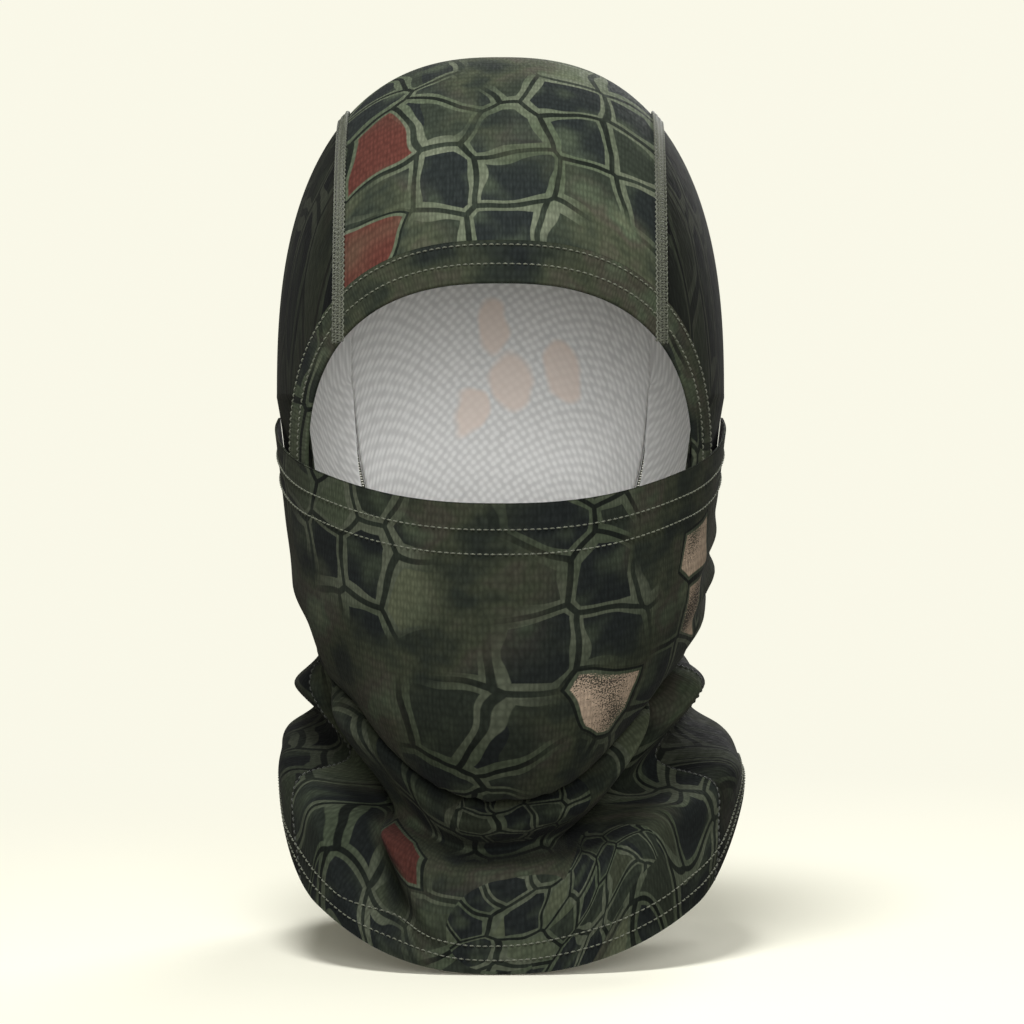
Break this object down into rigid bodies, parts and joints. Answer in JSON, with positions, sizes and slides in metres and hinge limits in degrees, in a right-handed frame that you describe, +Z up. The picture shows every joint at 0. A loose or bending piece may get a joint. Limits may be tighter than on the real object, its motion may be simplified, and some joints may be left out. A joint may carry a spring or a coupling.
{
  "type": "balaclava",
  "caption": "Knit full-head balaclava with a face opening, a pull-down face mask and a flared neck collar, in a scale-pattern camouflage print.",
  "frame": {"origin": "on the middle plane, level with the ears, at the height the collar stands on", "axes": "+Z up, -Y the way the face looks, +X the wearer's left"},
  "size_m": [0.1856, 0.2122, 0.3484],
  "materials": {
    "camo_fabric": "fine mesh knit, dark green scale-pattern print outside, pale grey inside",
    "hem_fabric": "the same knit turned over as a hem",
    "thread": "olive polyester thread"
  },
  "bodies": {
    "neck": {"throat_panel": "camo_fabric", "left_neck_panel": "camo_fabric", "right_neck_panel": "camo_fabric", "back_panel": "camo_fabric", "collar_hem": "hem_fabric", "collar_hem_stitch_upper": "thread", "collar_hem_stitch_lower": "thread", "left_side_seam": "thread", "right_side_seam": "thread", "left_back_seam": "thread", "right_back_seam": "thread"},
    "hood": {"crown_panel": "camo_fabric", "left_side_panel": "camo_fabric", "right_side_panel": "camo_fabric", "face_opening_hem": "hem_fabric", "face_hem_stitch_inner": "thread", "face_hem_stitch_outer": "thread", "left_crown_seam": "thread", "right_crown_seam": "thread"},
    "mask": {"mask_panel": "camo_fabric", "mask_top_hem": "hem_fabric", "mask_hem_stitch_upper": "thread", "mask_hem_stitch_lower": "thread"}
  },
  "joints": [
    {"name": "mask_pull_down", "type": "hinge", "parent": "neck", "child": "mask", "pos_m": [0, 0, 0.217], "axis": [1, 0, 0], "range_deg": [0, 22]},
    {"name": "hood_push_back", "type": "hinge", "parent": "neck", "child": "hood", "pos_m": [0, 0, 0.217], "axis": [-1, 0, 0], "range_deg": [0, 32]}
  ]
}
